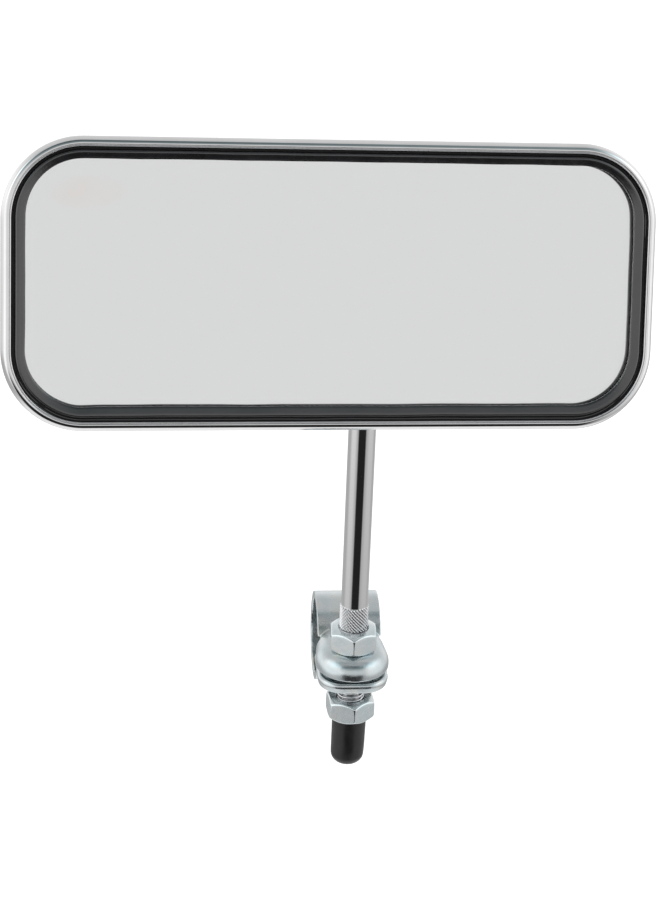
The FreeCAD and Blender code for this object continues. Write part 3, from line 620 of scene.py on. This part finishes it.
# round the glass: its front edge, the lip behind it, the gasket's back and outside
for grow, depth in ((0.0, GLASS_FRONT), (0.0, -16.20), (-2.5, -16.20), (-2.5, -15.20),
                    (1.70, -15.20), (1.70, -15.35), (1.70, -19.75), (1.60, -19.88)):
    gasket_rings.append(glass_ring(grow, depth))
points, faces = loft(gasket_rings, closed_path=True)
gasket = to_object("gasket_profile", points, faces, "head", place=HEAD)
finish_piece(gasket, "rubber", "rubber_gasket", 50.0)

# ------------------------------------------------------------------ mirror glass
glass_rings = []
for grow, depth in ((-0.25, GLASS_FRONT), (-0.08, -19.37), (0.0, -19.25), (0.0, -17.60),
                    (-0.08, -17.49), (-0.25, GLASS_BACK)):
    glass_rings.append(glass_ring(grow, depth))
points, faces = loft(glass_rings, cap_first=True, cap_last=True)
glass = to_object("glass_pane", points, faces, "head", smooth=False, place=HEAD)
paint(glass, "pane")
glass.data.materials.append(MATERIALS["mirror"])
glass.data.polygons[len(faces) - 1].material_index = 1    # the back face is silvered
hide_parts("mirror_glass")

# ------------------------------------------------------------------ nuts
NUT_HALF_FLAT = 6.5                       # 13 mm across flats
NUT_HEIGHT = 6.5
NUT_CROWN = 6.15                          # radius where the chamfer starts
NUT_CHAMFER = math.tan(math.radians(38))
CORNER_ARC_STEPS = 6
FLAT_STEPS = 14


def hex_ring(corner):
    """Hexagon with round corners: six arcs joined by subdivided flats, plan points."""
    points = []
    reach = (NUT_HALF_FLAT - corner) / math.cos(math.radians(30))
    arcs = []
    for i in range(6):
        middle = math.radians(60 * i - 90)
        centre = (reach * math.cos(middle), reach * math.sin(middle))
        arc = []
        for j in range(CORNER_ARC_STEPS + 1):
            angle = middle + math.radians(-30 + 60 * j / CORNER_ARC_STEPS)
            arc.append((centre[0] + corner * math.cos(angle),
                        centre[1] + corner * math.sin(angle)))
        arcs.append(arc)
    for i in range(6):
        points.extend(arcs[i])
        a = arcs[i][-1]
        b = arcs[(i + 1) % 6][0]
        for j in range(1, FLAT_STEPS):
            mix = j / FLAT_STEPS
            points.append((a[0] * (1 - mix) + b[0] * mix, a[1] * (1 - mix) + b[1] * mix))
    return points


def nut_mesh(name, bore_radius, foot_z, turned, body):
    """Chamfered nut with its foot at foot_z, turned by some degrees about the rod."""
    edge = hex_ring(0.95)
    middle = hex_ring(0.60)
    tight = hex_ring(0.34)

    def plan_ring(radius, z):
        """Circle whose points follow the polar angles of the hexagon's."""
        out = []
        for x, y in edge:
            angle = math.atan2(y, x)
            out.append((radius * math.cos(angle), radius * math.sin(angle), z))
        return out

    def side_ring(shape, back, top, offset):
        """Ring on or beside the chamfer edge; back pulls it in along the chamfer."""
        out = []
        for x, y in shape:
            reach = math.hypot(x, y)
            scale = (reach - back) / reach
            drop = max(reach - back - NUT_CROWN, 0.0) * NUT_CHAMFER + offset
            z = NUT_HEIGHT - drop if top else drop
            out.append((x * scale, y * scale, z))
        return out

    rings = [
        plan_ring(bore_radius, 0.55),
        plan_ring(bore_radius + 0.35, 0.12),
        plan_ring(bore_radius + 0.50, 0.0),
        plan_ring(NUT_CROWN - 0.25, 0.0),
        side_ring(edge, 0.22, False, 0.0),
        side_ring(edge, 0.10, False, 0.01),
        side_ring(edge, 0.025, False, 0.05),
        side_ring(edge, 0.0, False, 0.14),
        side_ring(tight, 0.0, False, 0.60),
        side_ring(tight, 0.0, True, 2.20),
        side_ring(middle, 0.0, True, 1.00),
        side_ring(edge, 0.0, True, 0.32),
        side_ring(edge, 0.012, True, 0.20),
        side_ring(edge, 0.045, True, 0.11),
        side_ring(edge, 0.10, True, 0.045),
        side_ring(edge, 0.17, True, 0.01),
        side_ring(edge, 0.25, True, 0.0),
        plan_ring(NUT_CROWN - 0.25, NUT_HEIGHT),
        plan_ring(bore_radius + 0.50, NUT_HEIGHT),
        plan_ring(bore_radius + 0.35, NUT_HEIGHT - 0.12),
        plan_ring(bore_radius, NUT_HEIGHT - 0.55),
    ]
    points, faces = loft(rings, closed_path=True)
    foot = Matrix.Translation(STEM + Vector((0.0, 0.0, foot_z)))
    place = foot @ Matrix.Rotation(math.radians(turned), 4, "Z")
    return to_object(name, points, faces, body, place=place)


upper_nut = nut_mesh("nut_above", 4.0, 8.1, -3.0, "stem")
finish_piece(upper_nut, "nut_zinc", "upper_nut", 38.0)
lower_nut = nut_mesh("nut_below", 4.04, -14.6, 5.5, "clamp_nut")
finish_piece(lower_nut, "nut_zinc", "lower_nut", 38.0)

# ------------------------------------------------------------------ thread cap
CAP_TOP = -14.8
CAP_LENGTH = 15.7
CAP_RADIUS = 5.0
CAP_ROUND = 3.1
CAP_DRAFT = math.tan(math.radians(0.6))
CAP_BORE = 4.0
CAP_BORE_END = -13.2      # the foot of the thread
CAP_SHOULDER = -0.28
CAP_LEAN = (-0.12, 0.013)  # sideways at the top, and more per millimetre down
CAP_AROUND = 84
cap_profile = [(CAP_BORE, CAP_BORE_END), (CAP_BORE, 0.0)]
cap_profile += [(4.25, 0.0), (4.75, -0.03), (4.90, -0.10), (4.99, CAP_SHOULDER)]
for i in range(1, 9):
    z = CAP_SHOULDER - (CAP_LENGTH - CAP_ROUND - 0.2) * i / 9
    cap_profile.append((CAP_RADIUS + z * CAP_DRAFT, z))
cap_foot = CAP_RADIUS - CAP_LENGTH * CAP_DRAFT
for i in range(11):
    angle = math.radians(90 * i / 10)
    cap_profile.append((cap_foot - CAP_ROUND + CAP_ROUND * math.cos(angle),
                        -CAP_LENGTH + CAP_ROUND - CAP_ROUND * math.sin(angle)))
cap_profile.append((0.4, -CAP_LENGTH))
cap_rings = []
for radius, z in cap_profile:
    ring = []
    outside = radius > CAP_BORE + 0.01 or z < CAP_BORE_END
    lean = CAP_LEAN[0] + CAP_LEAN[1] * z if outside else 0.0
    for j in range(CAP_AROUND):
        angle = 2 * math.pi * j / CAP_AROUND
        cos, sin = math.cos(angle), math.sin(angle)
        wander = 0.0
        if radius > CAP_BORE + 0.3 and z > -CAP_LENGTH + 0.1:
            wander = 0.07 * noise.noise(Vector((2.2 * cos, 2.2 * sin, z * 0.25))) - 0.03
        ring.append(((radius + wander) * cos + lean, (radius + wander) * sin, z))
    cap_rings.append(ring)
points, faces = loft(cap_rings, cap_first=True, cap_last=True)
cap_place = Matrix.Translation(STEM + Vector((0, 0, CAP_TOP)))
cap = to_object("cap_sleeve", points, faces, "stem", place=cap_place)
finish_piece(cap, "vinyl", "thread_cap", 50.0)

# ------------------------------------------------------------------ rod: thread, knurl, bend
STEM_FRAME = Matrix.Translation(STEM) @ Matrix.Rotation(-ARM_TURN, 4, "Z")
ARM_REACH = 33.95
THREAD = 4.0
THREAD_ROOT = 3.40
PITCH = 1.25
THREAD_FOOT = -28.0
KNURL_FOOT = 14.4
KNURL = 4.15
KNURL_TEETH = 26
GROOVE = 0.16         # depth of the knurl below the plain rod
AROUND = 208          # points on each ring of the rod
BEND = 15.0           # radius of the bend's middle line
BEND_STEPS = 32
NECK = 2.75
NECK_FREE = 13.5      # neck between the rod's end and the ball's centre
NECK_END = 8.0        # how far the neck's socket goes into the rod


def saw(value):
    """Triangle wave between 0 and 1 with period 1."""
    share = value - math.floor(value)
    return 1.0 - abs(2.0 * share - 1.0)


def thread_radius(angle, z):
    """M8 flanks with flat crests and roots, fading out at the rod's foot."""
    turn_share = saw(z / PITCH - angle / (2 * math.pi))
    flank = min(max((turn_share - 0.12) / 0.70, 0.0), 1.0)
    fade = min(max((z - THREAD_FOOT) / 0.9, 0.0), 1.0)
    return THREAD_ROOT + (THREAD - 0.01 - THREAD_ROOT) * flank * (0.15 + 0.85 * fade)


def knurl_radius(angle, z):
    """Pyramids between two sets of crossing helical grooves."""
    along = z * KNURL_TEETH / (2 * math.pi * KNURL) * 0.95
    around = angle * KNURL_TEETH / (2 * math.pi)
    weaker = 0.45 + 0.55 * saw(around - along)
    ridge = min(min(saw(around + along), weaker) * 1.2, 1.0)
    fade = min(max((KNURL_TOP - z) / 0.5, 0.0), 1.0) * min(max((z - KNURL_FOOT) / 0.5, 0.0), 1.0)
    base = ROD - GROOVE
    return base + (KNURL - base) * ridge * fade


def straight_ring(z, radius_at):
    """Level ring whose radius depends on the angle."""
    ring = []
    for j in range(AROUND):
        angle = 2 * math.pi * j / AROUND
        radius = radius_at(angle, z)
        ring.append((radius * math.cos(angle), radius * math.sin(angle), z))
    return ring


rod_rings = [ring_about(1.5, THREAD_FOOT, AROUND)]
z = THREAD_FOOT
while z < KNURL_FOOT - 0.01:
    rod_rings.append(straight_ring(z, thread_radius))
    z += PITCH / 12
z = KNURL_FOOT
while z < KNURL_TOP:
    rod_rings.append(straight_ring(z, knurl_radius))
    z += 0.08
for height in (KNURL_TOP, KNURL_TOP + 0.1, 26.0, 40.0, 55.0, 70.0, 85.0, 98.0):
    rod_rings.append(ring_about(ROD, height, AROUND))


def swept_ring(centre_y, centre_z, lean, radius):
    """Ring on the bent part; lean is the turn from upright towards -Y."""
    ring = []
    for j in range(AROUND):
        angle = 2 * math.pi * j / AROUND
        across = radius * math.sin(angle)
        ring.append((radius * math.cos(angle),
                     centre_y + across * math.cos(lean),
                     centre_z + across * math.sin(lean)))
    return ring


# the straight run and the arm meet at corner_z, before the bend rounds their corner
bend_total = math.pi / 2 - ARM_RISE
corner_z = BALL_HEIGHT - ARM_REACH * math.tan(ARM_RISE)
tangent = BEND * math.tan(bend_total / 2)
bend_start = corner_z - tangent
for i in range(BEND_STEPS + 1):
    lean = bend_total * i / BEND_STEPS
    centre_y = -BEND * (1 - math.cos(lean))
    centre_z = bend_start + BEND * math.sin(lean)
    rod_rings.append(swept_ring(centre_y, centre_z, lean, ROD))
arm_length = ARM_REACH / math.cos(ARM_RISE)
arm_y = -math.cos(ARM_RISE)
arm_z = math.sin(ARM_RISE)
rod_end = arm_length - NECK_FREE
for spot, radius in ((tangent + 1.0, ROD), (rod_end - 1.1, ROD), (rod_end - 0.6, ROD),
                     (rod_end - 0.45, ROD - 0.06), (rod_end - 0.1, ROD - 0.5),
                     (rod_end, ROD - 0.62), (rod_end, NECK + 0.02),
                     (rod_end - 0.1, NECK), (rod_end - NECK_END, NECK)):
    rod_rings.append(swept_ring(arm_y * spot, corner_z + arm_z * spot, bend_total, radius))
points, faces = loft(rod_rings, cap_first=True, cap_last=True)
rod = to_object("rod_and_thread", points, faces, "stem", place=STEM_FRAME)
finish_piece(rod, "rod_chrome", "stem_rod", 60.0)

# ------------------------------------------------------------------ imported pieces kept
for node_name in ("pressure_cup", "disc_springs", "spring_bridge", "bridge_rivets", "ball_seat"):
    soften(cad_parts[node_name], "BEVEL", "soft_edges", width=0.00012, segments=2,
           limit_method="ANGLE", angle_limit=math.radians(40))

# ------------------------------------------------------------------ camera
SENSOR = 36.0
LENS = 99.64
CAMERA_TURN = math.radians(5.8)
CAMERA_DIP = math.radians(25.9)
CAMERA_ROLL = math.radians(2.2)
CAMERA_AWAY = 718.0                       # from the clamp's ears
CAMERA_SHIFT = (-6.40, 59.09)             # to the right and up
camera_data = bpy.data.cameras.new("camera")
camera_data.sensor_width = SENSOR
camera_data.lens = LENS
camera_data.clip_start = 0.01
camera = bpy.data.objects.new("camera", camera_data)
bpy.context.scene.collection.objects.link(camera)
ahead = Vector((
    math.sin(CAMERA_TURN) * math.cos(CAMERA_DIP),
    math.cos(CAMERA_TURN) * math.cos(CAMERA_DIP),
    -math.sin(CAMERA_DIP),
))
level = Vector((math.cos(CAMERA_TURN), -math.sin(CAMERA_TURN), 0.0))
upright = level.cross(ahead)
right = math.cos(CAMERA_ROLL) * level + math.sin(CAMERA_ROLL) * upright
up = -math.sin(CAMERA_ROLL) * level + math.cos(CAMERA_ROLL) * upright
ears = STEM + Vector((0.0, 0.0, 5.1))
eye = ears - CAMERA_AWAY * ahead + CAMERA_SHIFT[0] * right + CAMERA_SHIFT[1] * up
facing = Matrix((right, up, -ahead)).transposed().to_4x4()
camera.matrix_world = Matrix.Translation(eye * MM) @ facing
bpy.context.scene.camera = camera
bpy.context.scene.view_settings.view_transform = "Standard"

# ------------------------------------------------------------------ floor and studio
FLOOR_HALF = 6.0    # metres, as is the level
FLOOR_Z = -0.45
floor_mesh = bpy.data.meshes.new("floor")
floor_mesh.from_pydata(
    [(side_x * FLOOR_HALF, side_y * FLOOR_HALF, FLOOR_Z)
     for side_x, side_y in ((-1, -1), (1, -1), (1, 1), (-1, 1))],
    [], [(0, 1, 2, 3)])
floor = bpy.data.objects.new("floor", floor_mesh)
bpy.context.scene.collection.objects.link(floor)
floor_paint = bpy.data.materials.new("floor_paint")
floor_paint.use_nodes = True
shader = floor_paint.node_tree.nodes["Principled BSDF"]
shader.inputs["Base Color"].default_value = (0.5, 0.5, 0.5, 1.0)
shader.inputs["Roughness"].default_value = 1.0
shader.inputs["Emission Color"].default_value = (1.0, 1.0, 1.0, 1.0)
shader.inputs["Emission Strength"].default_value = 0.8
floor_mesh.materials.append(floor_paint)
floor.visible_glossy = False
floor.visible_diffuse = False
floor.visible_shadow = False


world = bpy.data.worlds.new("studio")
bpy.context.scene.world = world
world.use_nodes = True
sky = world.node_tree
sky.nodes.clear()


def sky_node(kind, **values):
    made = sky.nodes.new(kind)
    for key, value in values.items():
        setattr(made, key, value)
    return made


def sky_math(operation, a, b=None, clamp=False):
    made = sky_node("ShaderNodeMath", operation=operation, use_clamp=clamp)
    for slot, source in ((0, a), (1, b)):
        if source is None:
            continue
        if isinstance(source, (int, float)):
            made.inputs[slot].default_value = source
        else:
            sky.links.new(source, made.inputs[slot])
    return made.outputs[0]


sky_ray = sky_node("ShaderNodeTexCoord").outputs["Generated"]
sky_split = sky_node("ShaderNodeSeparateXYZ")
sky.links.new(sky_ray, sky_split.inputs[0])
ray_x, ray_y, ray_z = sky_split.outputs
# degrees; azimuth 0 is towards -Y, the front, and it grows towards +X
frontward = sky_math("MULTIPLY", ray_y, -1.0)
azimuth = sky_math("MULTIPLY", sky_math("ARCTAN2", ray_x, frontward), 180 / math.pi)
elevation = sky_math("MULTIPLY", sky_math("ARCSINE", ray_z), 180 / math.pi)


def smooth(source, start, end):
    """0 at start and 1 at end, with a soft course between."""
    made = sky_node("ShaderNodeMapRange", interpolation_type="SMOOTHSTEP")
    made.inputs["From Min"].default_value = start
    made.inputs["From Max"].default_value = end
    sky.links.new(source, made.inputs["Value"])
    return made.outputs["Result"]


def patch(mid_azimuth, half_azimuth, mid_elevation, half_elevation, soft):
    """1 inside a soft-edged box of directions, 0 outside."""
    offset = sky_math("SUBTRACT", azimuth, mid_azimuth)
    wrapped = sky_math("WRAP", offset, 180.0)
    wrapped.node.inputs[2].default_value = -180.0
    away = sky_math("ABSOLUTE", wrapped)
    across = smooth(sky_math("SUBTRACT", half_azimuth, away), -soft, soft)
    height = sky_math("ABSOLUTE", sky_math("SUBTRACT", elevation, mid_elevation))
    upward = smooth(sky_math("SUBTRACT", half_elevation, height), -soft, soft)
    return sky_math("MULTIPLY", across, upward)


def blend(base, mask, brightness):
    """The base where the mask is 0, the brightness where it is 1."""
    rest = sky_math("MULTIPLY", base, sky_math("SUBTRACT", 1.0, mask))
    return sky_math("ADD", rest, sky_math("MULTIPLY", mask, brightness))


# pale room, brighter towards the sides, duller above the front and low at the back
in_front = smooth(frontward, -0.06, 0.10)
light = sky_math("ADD", 0.86, 0.0)
light = blend(light, smooth(elevation, -8.0, -24.0), 0.52)
light = blend(light, smooth(elevation, -38.0, -56.0), 1.04)
high = smooth(elevation, 24.0, 46.0)
light = blend(light, high, 0.73)
high_in_front = sky_math("MULTIPLY", high, in_front)
light = blend(light, high_in_front, 0.30)
for spot in (
    # mid azimuth, half, mid elevation, half, edge, level
    (180.0, 60.0, 6.0, 12.0, 14.0, 1.10),    # wall behind
    (-122.0, 24.0, 4.0, 13.0, 12.0, 1.24),   # pale wall, back left
    (78.0, 28.0, 8.0, 30.0, 15.0, 1.15),     # pale wall to the right
    (-76.0, 26.0, 8.0, 32.0, 15.0, 1.32),    # pale wall to the left
    (-44.0, 15.0, 5.0, 14.0, 9.0, 1.30),     # pale corner, front left
    (62.0, 18.0, 5.0, 14.0, 9.0, 1.20),      # pale corner, front right
    (76.0, 27.0, 33.0, 14.0, 16.0, 1.7),     # window to the right
    (-78.0, 27.0, 35.0, 15.0, 16.0, 1.7),    # window to the left
    (-6.0, 34.0, 66.0, 17.0, 10.0, 0.13),    # dark ceiling in front
    (-2.0, 32.0, -24.5, 22.0, 6.0, 0.02),    # dark figure low in front
):
    light = blend(light, patch(*spot[:5]), spot[5])

# the duller part is a little cooler
tinted = sky_node("ShaderNodeCombineColor")
for socket, change in (("Red", -0.16), ("Green", 0.02), ("Blue", 0.06)):
    scale = sky_math("ADD", sky_math("MULTIPLY", high_in_front, change), 1.0)
    sky.links.new(sky_math("MULTIPLY", light, scale), tinted.inputs[socket])
light = tinted.outputs[0]

backdrop = sky_node("ShaderNodeBackground")
sky.links.new(light, backdrop.inputs["Color"])
plain = sky_node("ShaderNodeBackground")
plain.inputs["Color"].default_value = (1.0, 1.0, 1.0, 1.0)
seen = sky_node("ShaderNodeLightPath")
mixed = sky_node("ShaderNodeMixShader")
sky.links.new(seen.outputs["Is Camera Ray"], mixed.inputs[0])
sky.links.new(backdrop.outputs[0], mixed.inputs[1])
sky.links.new(plain.outputs[0], mixed.inputs[2])
sky_out = sky_node("ShaderNodeOutputWorld")
sky.links.new(mixed.outputs[0], sky_out.inputs["Surface"])
